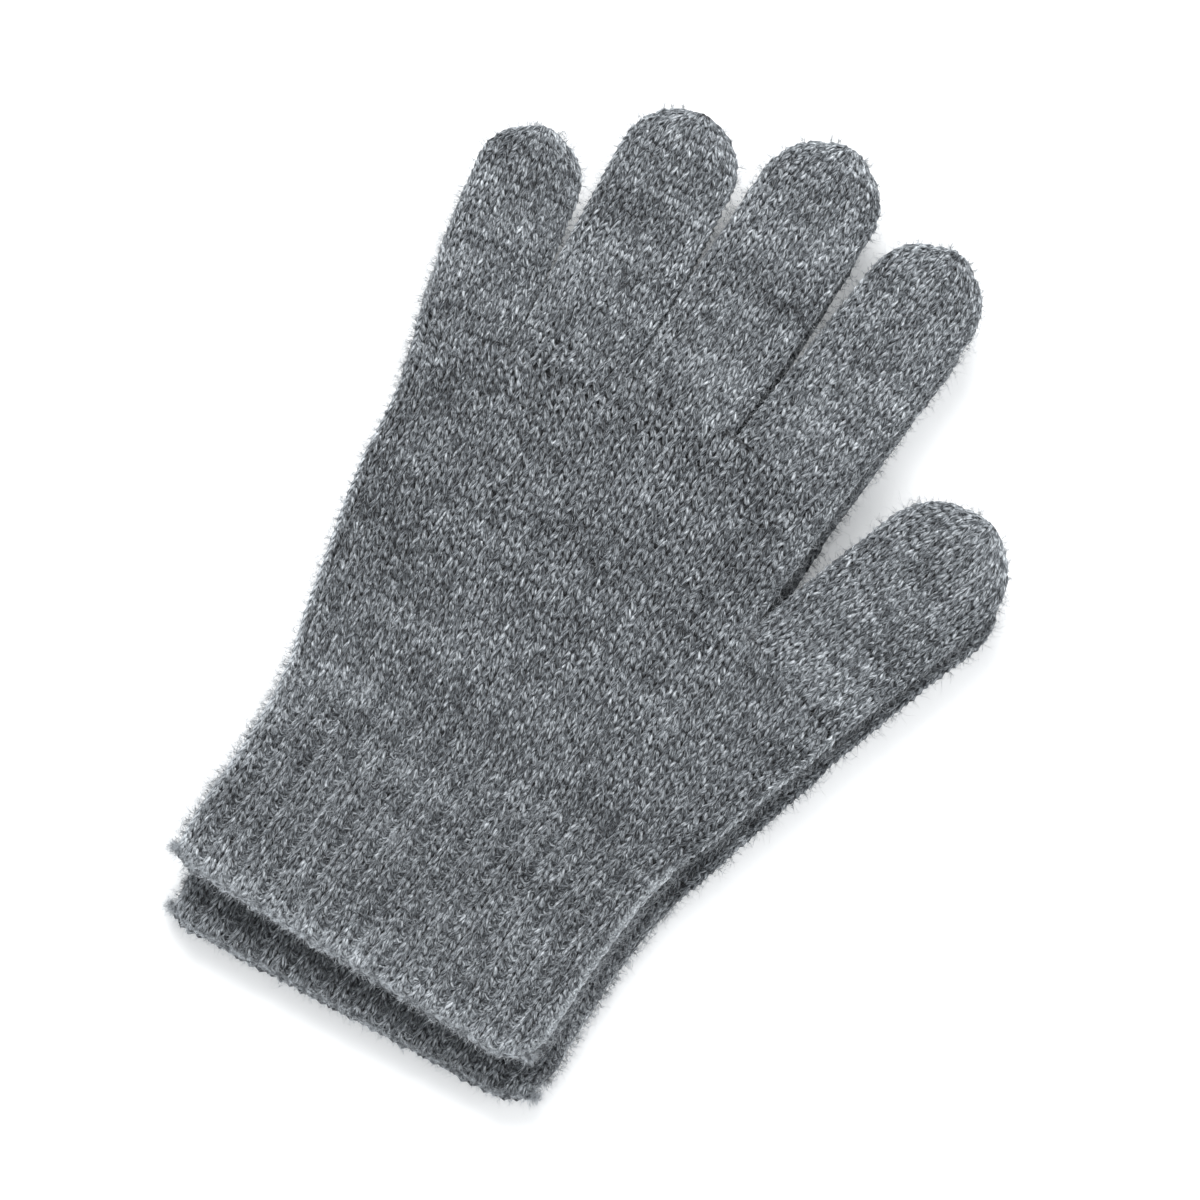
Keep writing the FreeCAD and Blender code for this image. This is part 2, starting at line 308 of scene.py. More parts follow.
def highPalmSection(row, ownRow):
    crotchY = hand["thumbCrotch"][1]
    topRow = hand["littleRingCrotch"][1]
    y = crotchY + (topRow - crotchY) * row / highPalm["courses"]
    left = edgeAt(hand["leftEdge"], y) + fabric["inset"]
    right = rightOfPalm(y)
    tilt = smooth(highPalm["dropFrom"], highPalm["courses"], row) * highPalm["littleDrop"]
    crotchX = hand["littleRingCrotch"][0]

    def rowAt(x):  # the last courses slope down to the little finger's root
        return y - tilt * np.clip((crotchX - x) / 22, 0, 1)

    dips = [hand[name] for name in ("littleRingCrotch", "ringMiddleCrotch", "middleIndexCrotch")]
    loop = handLoop(left, right, rowAt, dips)
    marks = [(left, 0), (right - 3.2, highPalm["columns"] - 2), (right, highPalm["columns"])]
    columns, total = stretchMarks(loop, marks)
    return loop, columns, total


def threeFingerSection(row, ownRow):
    topRow = hand["littleRingCrotch"][1]
    y = topRow + row * (threeFingerPalm["top"] - topRow) / threeFingerPalm["courses"]
    left = hand["littleRingCrotch"][0] + 0.4
    right = rightOfPalm(y)

    def rowAt(x):  # lower towards the ring finger and the index finger than under the middle one
        late = smooth(0, threeFingerPalm["courses"], row)
        ringSide = threeFingerPalm["ringDrop"] * np.clip((-15 - x) / 27, 0, 1)
        indexSide = threeFingerPalm["indexDrop"] * np.clip((x - 12) / 29, 0, 1)
        return y - late * (ringSide + indexSide)

    dips = [hand["ringMiddleCrotch"], hand["middleIndexCrotch"]]
    loop = handLoop(left, right, rowAt, dips)
    marks = [(left, 5.5), (left + 3.2, 7.5), (right - 3.2, 30), (right, 32)]
    columns, total = stretchMarks(loop, marks)
    return loop, columns, total


def columnOver(section, x):  # the column number on the upper face at one x
    loop, columns, total = section
    half = len(loop) // 2
    return float(np.interp(x, loop[:half + 1, 0], columns[:half + 1]))


# Fingers and thumbs

fingerRound = {"foldReach": 6.5, "rootReach": 5.6, "crown": 0.18}


def fingerSection(place, shape, firstColumn, row, ownRow):
    root, along, length = place
    distance = shape["first"] + row * fabric["fingerCourse"]
    radius = shape["full"] / 2
    shoulder = length - radius
    half = shape["root"] / 2 + (radius - shape["root"] / 2) * smooth(0, 0.35 * length, distance)
    half = half - fabric["inset"]
    tipRadius = radius - fabric["inset"]
    past = min(max(distance - shoulder, 0) / tipRadius, 0.992)
    narrowing = math.sqrt(1 - past ** 2)
    half = half * narrowing
    a = spread(150)
    x = half * a
    edge = half - np.abs(x)
    softer = fingerRound["foldReach"] - fingerRound["rootReach"]
    reach = min(fingerRound["rootReach"] + softer * smooth(0, 0.45 * length, distance), half)
    z = fabric["halfLoft"] * foldProfile(edge, reach) * (1 - fingerRound["crown"] * a ** 2)
    z = z * narrowing ** 0.6
    y = np.full_like(x, min(distance, shoulder + tipRadius * 0.992))
    y = y + 0.9 * (1 - a ** 2) * smooth(shoulder - 4, shoulder + 6, distance)
    x = x + np.interp(distance / length, (0, 0.5, 1), shape["drift"])
    placed = closeLoop(root[0] + x * along[1] + y * along[0], root[1] - x * along[0] + y * along[1], z)
    arc = arcLengths(placed)
    perimeter = arc[-1]
    total = shape["stitches"]
    if past > 0:
        ownDistance = shape["first"] + ownRow * fabric["fingerCourse"]
        own = min(max(ownDistance - shoulder, 0) / tipRadius, 0.985)
        total = max(6, int(round(total * (0.12 + 0.88 * math.sqrt(1 - own ** 2)))))
    middle = arc[(len(placed) // 2) // 2]
    return placed, (arc - middle) / perimeter * total + firstColumn, total


# Knitting: every course is one closed run of looped yarn round its tube

def stitchWave(count, steps, rng, size):
    # one random number for each stitch, carried smoothly along the course
    values = rng.normal(0, size, count)
    at = np.arange(count * steps) / steps
    return np.interp(at, np.arange(count + 1) + 0.5, np.append(values, values[0]), period=count)


def sampleLoop(loop, columns, total, at):
    wrapped = columns[0] + np.mod(at - columns[0], total)
    return np.stack([np.interp(wrapped, columns, loop[:, axis]) for axis in range(3)], 1)


def outward(before, loop, after):
    across = np.gradient(loop, axis=0)
    across[0] = across[-1] = loop[1] - loop[-2]
    normal = np.cross(across, after - before)
    return normal / np.maximum(np.linalg.norm(normal, axis=1, keepdims=True), 1e-9)


def ribShape(column):
    # 1 over the two knit wales, -1 over the purl wale, softened between
    phase = np.mod(column, 3.0)
    edge = np.minimum(np.abs(phase - 2.5), 3 - np.abs(phase - 2.5))
    return 1 - 2 * (1 - smooth(0.30, 0.72, edge))


def knitCourse(sections, row, rng, ribbing, foldHighlight):
    # sections(row, ownRow) gives a loop, its column numbers and how many columns close it
    loop, columns, total = sections(row, row)
    before, after = sections(row - 1, row), sections(row + 1, row)
    total = int(round(total))
    steps = plainStitch["steps"]
    first = math.ceil(columns[0])
    at = first + np.arange(total * steps) / steps
    turn = 2 * math.pi * at
    wobble = [stitchWave(total, steps, rng, plainStitch["jitter"]) for _ in range(4)]
    rib = ribShape(at) if ribbing > 0 else np.ones_like(at)
    face = 1 - ribbing * (1 - rib)
    reach = plainStitch["reach"] * (1 + 0.6 * wobble[0]) * np.cos(turn)
    sway = plainStitch["sway"] * (1 + 1.5 * wobble[1]) * np.sin(2 * turn)
    across = at + sway + plainStitch["skew"] * reach + 0.35 * wobble[2]
    along = reach + 0.5 * wobble[3]
    lift = -plainStitch["depth"] * np.cos(2 * turn) * face
    # painted shade: near 1 where a loop dips behind the next, where the yarn is painted darker
    paintedShadeHighlight = (0.5 + 0.5 * np.cos(2 * turn) * np.maximum(face, -0.3)) * (0.5 + 0.5 * np.maximum(face, 0))
    if ribbing > 0:
        uneven = 1 + 0.7 * np.sin(at * 0.9 + row * 0.31) * np.sin(at * 0.37 - row * 0.17)
        lift = lift + ribbing * cuff["ribRise"] * np.maximum(rib, 0)
        lift = lift + ribbing * cuff["grooveDepth"] * uneven * np.minimum(rib, 0)
        across = across + ribbing * cuff["squeeze"] * np.sin(2 * math.pi * (np.mod(at, 3.0) - 1.0) / 3.0)
    here = sampleLoop(loop, columns, total, across)
    back = sampleLoop(before[0], before[1], total, across)
    ahead = sampleLoop(after[0], after[1], total, across)
    u = along[:, None]
    path = here * (1 - u * u) + ahead * (u * u + u) / 2 + back * (u * u - u) / 2
    normal = sampleLoop(outward(before[0], loop, after[0]), columns, total, across)
    normal /= np.linalg.norm(normal, axis=1, keepdims=True)
    path = path + normal * lift[:, None]
    paintedShadeHighlight = paintedShadeHighlight - foldHighlight * smooth(0.06, 0.5, 1 - np.abs(normal[:, 2]))  # painted highlight: the folds are painted paler, as if lit along their rims
    thick = 1 + stitchWave(total, steps, rng, yarn["radiusSpread"])
    return {"path": path, "normal": normal, "thick": thick, "lift": lift, "paintedShadeHighlight": paintedShadeHighlight}


def tube(path, normal, thick, sides, flatten, lengthSoFar, mark):
    # a closed tube along a closed path, and how its fibres run: two of the twist and one of the length
    count = len(path)
    tangent = np.roll(path, -1, axis=0) - np.roll(path, 1, axis=0)
    tangent /= np.linalg.norm(tangent, axis=1, keepdims=True)
    upright = normal - tangent * np.sum(normal * tangent, axis=1, keepdims=True)
    upright /= np.linalg.norm(upright, axis=1, keepdims=True)
    sideways = np.cross(tangent, upright)
    step = np.linalg.norm(np.roll(path, -1, axis=0) - path, axis=1)
    length = lengthSoFar + np.concatenate([[0], np.cumsum(step)[:-1]])
    angle = 2 * math.pi * np.arange(sides) / sides
    ring = (upright[:, None] * np.cos(angle)[None, :, None] * flatten
            + sideways[:, None] * np.sin(angle)[None, :, None])
    points = (path[:, None] + ring * thick[:, None, None]).reshape(-1, 3)
    twist = angle[None, :] + (2 * math.pi / yarn["twistLength"]) * length[:, None]
    along = np.repeat(length[:, None] + mark, sides, 1)
    fibre = np.stack([np.cos(twist), np.sin(twist), along], 2).reshape(-1, 3)
    i = np.arange(count)[:, None]
    j = np.arange(sides)[None, :]
    nextI, nextJ = (i + 1) % count, (j + 1) % sides
    faces = np.stack([i * sides + j, i * sides + nextJ, nextI * sides + nextJ, nextI * sides + j], 2)
    return points, faces.reshape(-1, 4), fibre, float(length[-1] + step[-1])


def yarnTubes(course, ply, lengthSoFar):
    # the plies of one course, winding round each other
    path, normal, thick = course["path"], course["normal"], course["thick"]
    tangent = np.roll(path, -1, axis=0) - np.roll(path, 1, axis=0)
    tangent /= np.linalg.norm(tangent, axis=1, keepdims=True)
    upright = normal - tangent * np.sum(normal * tangent, axis=1, keepdims=True)
    upright /= np.linalg.norm(upright, axis=1, keepdims=True)
    sideways = np.cross(tangent, upright)
    step = np.linalg.norm(np.roll(path, -1, axis=0) - path, axis=1)
    run = np.concatenate([[0], np.cumsum(step)])
    turns = max(1, round(run[-1] / yarn["twistLength"]))  # a whole number, so that the ends meet
    wind = 2 * math.pi * turns * run[:-1] / run[-1]
    points, faces, fibres, offset = [], [], [], 0
    for number in range(yarn["plies"]):
        phase = wind + 2 * math.pi * number / yarn["plies"]
        away = upright * np.cos(phase)[:, None] * yarn["flatten"] + sideways * np.sin(phase)[:, None]
        plyPath = path + away * (yarn["plyOffset"] * thick)[:, None]
        made = tube(plyPath, normal, ply["radius"] * thick, ply["sides"], yarn["flatten"],
                    lengthSoFar, yarn["plyShift"] * number)
        points.append(made[0])
        faces.append(made[1] + offset)
        fibres.append(made[2])
        offset += len(made[0])
    paintedShadeHighlight = np.tile(np.repeat(course["paintedShadeHighlight"], ply["sides"]), yarn["plies"])
    fibre = np.column_stack([np.concatenate(fibres), paintedShadeHighlight])
    return np.concatenate(points), np.concatenate(faces), fibre, lengthSoFar + float(run[-1])


lining = {"drop": 0.35, "wall": 0.5, "spacing": 5}  # every fifth point of a loop gets a corner


def liningShell(sections, rows):
    # a thin closed shell that shuts the gaps between the loops; its dark material is painted shade for the
    # hollow behind them
    drop, wall = lining["drop"], lining["wall"]
    rings = []
    for row in rows:
        loop = sections(row, row)[0]
        normal = outward(sections(row - 1, row)[0], loop, sections(row + 1, row)[0])
        pick = np.linspace(0, len(loop) - 1, len(loop) // lining["spacing"]).astype(int)[:-1]
        rings.append((loop[pick] - normal[pick] * drop, loop[pick] - normal[pick] * (drop + wall)))
    width = len(rings[0][0])
    outer = np.concatenate([ring[0] for ring in rings])
    inner = np.concatenate([ring[1] for ring in rings])
    points = np.concatenate([outer, inner])
    shift = len(outer)
    faces = []
    j = np.arange(width)
    nextJ = (j + 1) % width
    for number in range(len(rings) - 1):
        low, high = number * width, (number + 1) * width
        faces.append(np.stack([low + j, low + nextJ, high + nextJ, high + j], 1))
        faces.append(shift + np.stack([low + j, high + j, high + nextJ, low + nextJ], 1))
    for low, outwardRim in ((0, True), ((len(rings) - 1) * width, False)):
        rim = np.stack([low + j, shift + low + j, shift + low + nextJ, low + nextJ], 1)
        faces.append(rim if outwardRim else rim[:, ::-1])
    return points, np.concatenate(faces)


fuzz = {
    "perStitch": 2.8,
    "shortest": 1.2,
    "longest": 4.8,
    "radius": 0.045,
    "segments": 2,
    "rise": 0.42,  # how much a fibre stands away from the fabric
    "root": 0.62,  # where a fibre leaves the yarn, above its middle
    "sideShare": 18.0,  # how much thicker it grows on the folds than on the flat
    "lowest": 4.2,  # below the fold line, where the floor is
    "tuft": {"fibres": 70, "reach": 2.6, "weight": 14.0},  # where two fingers meet
}


def fuzzFibres(courses, rng, density, tufts):
    # fine curled fibres that have worked out of the yarn, each a tapered three-sided thread
    paths = np.concatenate([course["path"] for course in courses])
    normals = np.concatenate([course["normal"] for course in courses])
    lifts = np.concatenate([course["lift"] for course in courses])
    fold = 1 - np.abs(normals[:, 2])
    weight = (lifts > 0.0) * (1 + fuzz["sideShare"] * fold ** 2)
    count = int(len(paths) / plainStitch["steps"] * fuzz["perStitch"] * density)
    for spot in tufts:
        away = np.hypot(paths[:, 0] - spot[0], paths[:, 1] - spot[1])
        near = np.exp(-(away / fuzz["tuft"]["reach"]) ** 2)
        weight = weight + (lifts > -0.3) * fuzz["tuft"]["weight"] * near
        count += fuzz["tuft"]["fibres"]
    picked = rng.choice(len(paths), count, replace=True, p=weight / weight.sum())
    normal = normals[picked]
    start = paths[picked] + normal * fuzz["root"] + rng.normal(0, 0.25, (count, 3))
    wander = rng.normal(0, 1, (count, 3))
    wander -= normal * np.sum(wander * normal, axis=1, keepdims=True)
    wander /= np.linalg.norm(wander, axis=1, keepdims=True)
    length = rng.uniform(fuzz["shortest"], fuzz["longest"], count) * rng.uniform(0.4, 1, count)
    rise = fuzz["rise"] * rng.uniform(0.2, 1.7, count) * (1 + 3.5 * fold[picked])
    heading = wander + normal * rise[:, None]
    heading /= np.linalg.norm(heading, axis=1, keepdims=True)
    bend = rng.normal(0, 0.6, (count, 3)) - normal * (0.15 + 0.22 * rise[:, None])
    segments = fuzz["segments"]
    points = [start]
    for _ in range(segments):
        points.append(points[-1] + heading * (length / segments)[:, None])
        heading = heading + bend * 1.5 / segments + rng.normal(0, 0.22, (count, 3))
        heading /= np.linalg.norm(heading, axis=1, keepdims=True)
    spine = np.stack(points, 1)
    spine[:, :, 2] = np.clip(spine[:, :, 2], -fuzz["lowest"], None)  # they lie on the floor, not in it
    sideways = np.cross(wander, normal)
    taper = np.linspace(1, 0.35, segments + 1)
    rings = []
    for angle in (0, 2 * math.pi / 3, 4 * math.pi / 3):
        offset = normal * math.cos(angle) + sideways * math.sin(angle)
        rings.append(spine + offset[:, None] * (fuzz["radius"] * taper)[None, :, None])
    vertices = np.stack(rings, 2).reshape(-1, 3)
    perFibre = (segments + 1) * 3
    base = (np.arange(count) * perFibre)[:, None, None]
    i = np.arange(segments)[None, :, None] * 3
    j = np.arange(3)[None, None, :]
    nextJ = (j + 1) % 3
    here, ahead = base + i, base + i + 3
    quads = np.stack([here + j, here + nextJ, ahead + nextJ, ahead + j], 3).reshape(-1, 4)
    bottom = base[:, 0] + np.array([[2, 1, 0]])
    top = base[:, 0] + np.array([[0, 1, 2]]) + segments * 3
    return vertices, quads, np.concatenate([bottom, top])


# Meshes

def makeMesh(name, glove, points, quads, triangles, materials, materialOf=None, fibre=None):
    mesh = bpy.data.meshes.new(name)
    triangles = np.zeros((0, 3), int) if triangles is None else triangles
    corners = np.concatenate([quads.ravel(), triangles.ravel()]).astype(np.int32)
    sizes = np.concatenate([np.full(len(quads), 4), np.full(len(triangles), 3)])
    mesh.vertices.add(len(points))
    mesh.vertices.foreach_set("co", toFrame(glove, points).astype(np.float32).ravel())
    mesh.loops.add(len(corners))
    mesh.loops.foreach_set("vertex_index", corners)
    mesh.polygons.add(len(sizes))
    mesh.polygons.foreach_set("loop_start", (np.cumsum(sizes) - sizes).astype(np.int32))
    mesh.polygons.foreach_set("use_smooth", np.ones(len(sizes), bool))
    for material in materials:
        mesh.materials.append(material)
    if materialOf is not None:
        mesh.polygons.foreach_set("material_index", materialOf.astype(np.int32))
    if fibre is not None:
        attribute = mesh.attributes.new("fibre", "FLOAT_VECTOR", "POINT")
        attribute.data.foreach_set("vector", fibre[:, :3].astype(np.float32).ravel())
        attribute = mesh.attributes.new("paintedShadeHighlight", "FLOAT", "POINT")
        attribute.data.foreach_set("value", fibre[:, 3].astype(np.float32))
    mesh.update(calc_edges=True)
    mesh.validate()
    piece = bpy.data.objects.new(name, mesh)
    bpy.context.scene.collection.objects.link(piece)
    return piece


# Materials

def addNode(tree, kind, **settings):
    node = tree.nodes.new(kind)
    for key, value in settings.items():
        setattr(node, key, value)
    return node


def link(tree, source, target):
    tree.links.new(source, target)


def calculate(tree, operation, first, second, clamp=False):
    node = addNode(tree, "ShaderNodeMath", operation=operation, use_clamp=clamp)
    for socket, value in zip(node.inputs, (first, second)):
        if isinstance(value, (int, float)):
            socket.default_value = value
        else:
            link(tree, value, socket)
    return node.outputs[0]


def stretched(tree, vector, scale):
    node = addNode(tree, "ShaderNodeMapping")
    node.inputs["Scale"].default_value = scale
    link(tree, vector, node.inputs["Vector"])
    return node.outputs[0]


def noise(tree, vector, scale, detail, roughness):
    node = addNode(tree, "ShaderNodeTexNoise")
    node.inputs["Scale"].default_value = scale
    node.inputs["Detail"].default_value = detail
    node.inputs["Roughness"].default_value = roughness
    link(tree, vector, node.inputs["Vector"])
    return node.outputs["Fac"]


def remap(tree, value, low, high, outLow=0.0, outHigh=1.0):
    node = addNode(tree, "ShaderNodeMapRange")
    link(tree, value, node.inputs["Value"])
    for name, number in (("From Min", low), ("From Max", high), ("To Min", outLow), ("To Max", outHigh)):
        node.inputs[name].default_value = number
    return node.outputs[0]


def newMaterial(name):
    material = bpy.data.materials.new(name)
    material.use_nodes = True
    tree = material.node_tree
    return material, tree, tree.nodes["Principled BSDF"]


marl = {
    "tones": [(0.0, (0.0115, 0.0125, 0.0145, 1)), (0.26, (0.039, 0.043, 0.0485, 1)),
              (0.50, (0.165, 0.181, 0.197, 1)), (0.74, (0.46, 0.49, 0.52, 1)), (1.0, (0.88, 0.93, 0.97, 1))],
    "shares": {"strokes": 0.62, "slubs": 0.50, "clouds": 0.14, "bands": 0.10},
    "wornAndHighlit": 0.34,  # painted highlight: how much paler the folds are painted
    "paintedCreviceShade": 0.36,  # painted shade: how much darker the yarn is painted where one loop dips behind the next
    "roughness": 0.9,
    "sheen": 0.22,
    "sheenRoughness": 0.45,
    "bump": 0.00030,  # in metres
}


def marlYarn(name, shift=0.0):
    # mixed dark and pale wool fibres that follow the twist of each ply
    material, tree, shader = newMaterial(name)
    fibre = addNode(tree, "ShaderNodeAttribute", attribute_name="fibre").outputs["Vector"]
    place = addNode(tree, "ShaderNodeTexCoord").outputs["Object"]
    strokes = noise(tree, stretched(tree, fibre, (1.5, 1.5, 0.62)), 1.0, 4.0, 0.75)
    slubs = noise(tree, stretched(tree, fibre, (0.3, 0.3, 0.42)), 1.0, 2.0, 0.6)
    clouds = noise(tree, place, 70.0, 3.0, 0.6)
    bands = noise(tree, stretched(tree, place, (7.0, 110.0, 7.0)), 1.0, 2.0, 0.5)
    shares = marl["shares"]
    tone = calculate(tree, "MULTIPLY", remap(tree, strokes, 0.37, 0.63), shares["strokes"])
    layers = ((slubs, 0.32, 0.68, "slubs"), (clouds, 0.3, 0.7, "clouds"), (bands, 0.3, 0.7, "bands"))
    for value, low, high, share in layers:
        part = calculate(tree, "MULTIPLY", remap(tree, value, low, high), shares[share])
        tone = calculate(tree, "ADD", tone, part)
    middle = sum(shares.values()) / 2
    paintedShadeHighlight = addNode(tree, "ShaderNodeAttribute", attribute_name="paintedShadeHighlight").outputs["Fac"]
    # painted shade: the yarn is painted darker where one loop dips behind the next
    tone = calculate(tree, "SUBTRACT", tone, remap(tree, paintedShadeHighlight, 0.12, 0.75, 0.0, marl["paintedCreviceShade"]))
    # painted highlight: the folds are painted paler, as if lit along their rims
    tone = calculate(tree, "ADD", tone, remap(tree, paintedShadeHighlight, 0.1, -0.9, 0.0, marl["wornAndHighlit"]))
    tone = calculate(tree, "ADD", tone, 0.5 - middle + shift, clamp=True)
    ramp = addNode(tree, "ShaderNodeValToRGB")
    first, last = ramp.color_ramp.elements
    first.position, first.color = marl["tones"][0]
    last.position, last.color = marl["tones"][-1]
    for position, colour in marl["tones"][1:-1]:
        ramp.color_ramp.elements.new(position).color = colour
    link(tree, tone, ramp.inputs[0])
    link(tree, ramp.outputs[0], shader.inputs["Base Color"])
    bump = addNode(tree, "ShaderNodeBump")
    bump.inputs["Strength"].default_value = 0.9
    bump.inputs["Distance"].default_value = marl["bump"]
    link(tree, strokes, bump.inputs["Height"])
    link(tree, bump.outputs[0], shader.inputs["Normal"])
    shader.inputs["Roughness"].default_value = marl["roughness"]
    shader.inputs["Specular IOR Level"].default_value = 0.2
    shader.inputs["Sheen Weight"].default_value = marl["sheen"]
    shader.inputs["Sheen Roughness"].default_value = marl["sheenRoughness"]
    return material


# painted shade: these dark colours stand for the shade in the hollow behind the loops
insideShade = {"dark": (0.012, 0.013, 0.015, 1), "pale": (0.11, 0.115, 0.122, 1), "grain": 1400.0, "bump": 0.0004}


def paintedShadeInside(name):
    # painted shade: a dark grainy surface behind the loops
    material, tree, shader = newMaterial(name)
    place = addNode(tree, "ShaderNodeTexCoord").outputs["Object"]
    grain = noise(tree, place, insideShade["grain"], 4.0, 0.65)
    ramp = addNode(tree, "ShaderNodeValToRGB")
    ramp.color_ramp.elements[0].color = insideShade["dark"]
    ramp.color_ramp.elements[1].color = insideShade["pale"]
    link(tree, grain, ramp.inputs[0])
    link(tree, ramp.outputs[0], shader.inputs["Base Color"])
    bump = addNode(tree, "ShaderNodeBump")
    bump.inputs["Strength"].default_value = 0.6
    bump.inputs["Distance"].default_value = insideShade["bump"]
    link(tree, grain, bump.inputs["Height"])
    link(tree, bump.outputs[0], shader.inputs["Normal"])
    shader.inputs["Roughness"].default_value = 1.0
    shader.inputs["Specular IOR Level"].default_value = 0.1
    return material


fibreShades = {"dark": (0.096, 0.104, 0.113), "pale": (0.60, 0.63, 0.66), "patches": 900.0}


# scales a fibre colour; a gain above 1 is a painted highlight
def lightened(colour, highlightGain):
    return tuple(channel * highlightGain for channel in colour) + (1,)


def looseFibres(name, highlightGain=1.0):
    material, tree, shader = newMaterial(name)
    place = addNode(tree, "ShaderNodeTexCoord").outputs["Object"]
    patches = noise(tree, place, fibreShades["patches"], 2.0, 0.5)
    ramp = addNode(tree, "ShaderNodeValToRGB")
    ramp.color_ramp.elements[0].position = 0.34
    ramp.color_ramp.elements[0].color = lightened(fibreShades["dark"], highlightGain)
    ramp.color_ramp.elements[1].position = 0.66
    ramp.color_ramp.elements[1].color = lightened(fibreShades["pale"], highlightGain)
    link(tree, patches, ramp.inputs[0])
    link(tree, ramp.outputs[0], shader.inputs["Base Color"])
    shader.inputs["Roughness"].default_value = 0.8
    shader.inputs["Specular IOR Level"].default_value = 0.3
    return material


plainYarn = marlYarn("plainYarn", -0.035)
fingerYarn = marlYarn("fingerYarn")
ribYarn = marlYarn("ribYarn")
# painted highlight: the edge yarn is painted paler, as if the rim of the mouth catches the light
edgeYarnHighlit = marlYarn("edgeYarnHighlit", 0.12)
inside = paintedShadeInside("paintedShadeInside")
halo = looseFibres("looseFibres")
# painted highlight: the cuff and edge fibres are painted paler, as if lit along the folds and rim
cuffHaloHighlit = looseFibres("cuffFibresHighlit", 1.2)
edgeHaloHighlit = looseFibres("edgeFibresHighlit", 1.45)
halos = {"rib_knit": cuffHaloHighlit, "edge_knit": edgeHaloHighlit}
coveredElastic, elasticTree, elasticShader = newMaterial("coveredElastic")
elasticShader.inputs["Base Color"].default_value = (0.045, 0.046, 0.05, 1)
elasticShader.inputs["Roughness"].default_value = 0.7

# Putting the pieces together

slots = {
    "palm": "plain_knit",
    "rib": "rib_knit",
    "edge": "edge_knit",
    "finger": "finger_knit",
    "thumb": "thumb_knit",
}


def knitPiece(name, glove, sections, rows, rng, material, slot, ribbing=None, haloDensity=1.0, tufts=(),
              rim=None, foldHighlight=0.25):
    # one knitted piece and its halo of fibres, not yet riding on anything
    courses = []
    points, faces, fibres = [], [], []
    offset = 0
    length = rng.uniform(0, 4000)
    for row in rows:
        share = ribbing(row) if ribbing else 0.0
        course = knitCourse(sections, row, rng, share, foldHighlight)
        courses.append(course)
        plies, quads, fibre, length = yarnTubes(course, styles[glove]["ply"], length)
        points.append(plies)
        faces.append(quads + offset)
        fibres.append(fibre)
        offset += len(plies)
    if rim:
        course = rimCourse(sections, rng)
        courses += [course] * rim["fuzzier"]
        plies, quads, fibre, length = yarnTubes(course, styles[glove]["ply"], length)
        points.append(plies)
        faces.append(quads + offset)
        fibres.append(fibre)
        offset += len(plies)
    yarnFaces = sum(len(part) for part in faces)
    shellRows = [rows[0] - 0.6] + list(rows) + [rows[-1] + 0.6]
    shell, shellFaces = liningShell(sections, shellRows)
    points.append(shell)
    faces.append(shellFaces + offset)
    fibres.append(np.ones((len(shell), 4)))
    materialOf = np.concatenate([np.zeros(yarnFaces, int), np.ones(len(shellFaces), int)])
    piece = makeMesh(name, glove, np.concatenate(points), np.concatenate(faces), None,
                     (material, inside), materialOf, np.concatenate(fibres))
    hairs, quads, caps = fuzzFibres(courses, rng, haloDensity, tufts)
    fuzzPiece = makeMesh(f"{name}_halo", glove, hairs, quads, caps, (halos.get(slot, halo),))
    return piece, fuzzPiece


def rideHand(glove, pieces, node=None):
    for piece in pieces:
        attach(piece, f"{glove}_hand")
    if node:
        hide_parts(node)


edgeRim = {"row": -0.62, "thick": 0.92, "ripple": 0.16, "lift": 0.25, "fuzzier": 14}  # the bound-off strand


def rimCourse(sections, rng):
    # one strand running right round the mouth, over the ends of the first loops
    row = edgeRim["row"]
    loop, columns, total = sections(row, row)
    before, after = sections(row - 1, row)[0], sections(row + 1, row)[0]
    count = int(round(total)) * 6
    arc = arcLengths(loop)
    at = np.linspace(0, arc[-1], count, endpoint=False)
    path = np.stack([np.interp(at, arc, loop[:, axis]) for axis in range(3)], 1)
    normals = outward(before, loop, after)
    normal = np.stack([np.interp(at, arc, normals[:, axis]) for axis in range(3)], 1)
    normal /= np.linalg.norm(normal, axis=1, keepdims=True)
    ripple = edgeRim["ripple"] * np.sin(2 * math.pi * np.arange(count) / 6)
    path = path + normal * (edgeRim["lift"] + 0.5 * ripple)[:, None]
    path[:, 1] += ripple
    thick = edgeRim["thick"] * (1 + stitchWave(int(round(total)), 6, rng, yarn["radiusSpread"]))
    return {"path": path, "normal": normal, "thick": thick, "lift": np.ones(count), "paintedShadeHighlight": np.zeros(count)}


def makeCuff(glove, rng):
    sections = cuffSections(glove)
    full = lambda row: cuff["ribbing"] * (1 - 0.5 * smooth(14, cuff["courses"], row))
    foldHighlight = styles[glove]["foldHighlight"]
    edge = knitPiece(f"{glove}_cuff_edge_knit", glove, sections, range(0, 2), rng, edgeYarnHighlit,
                     slots["edge"], full, 2.6, (), edgeRim, foldHighlight)
    rideHand(glove, edge, f"{glove}_cuff_edge")
    for number, rows in enumerate((range(2, 15), range(15, cuff["courses"])), start=1):
        rib = knitPiece(f"{glove}_rib_cuff_{number}", glove, sections, rows, rng, ribYarn,
                        slots["rib"], full, 2.1, foldHighlight=foldHighlight)
        rideHand(glove, rib, f"{glove}_rib_cuff" if number == 1 else None)


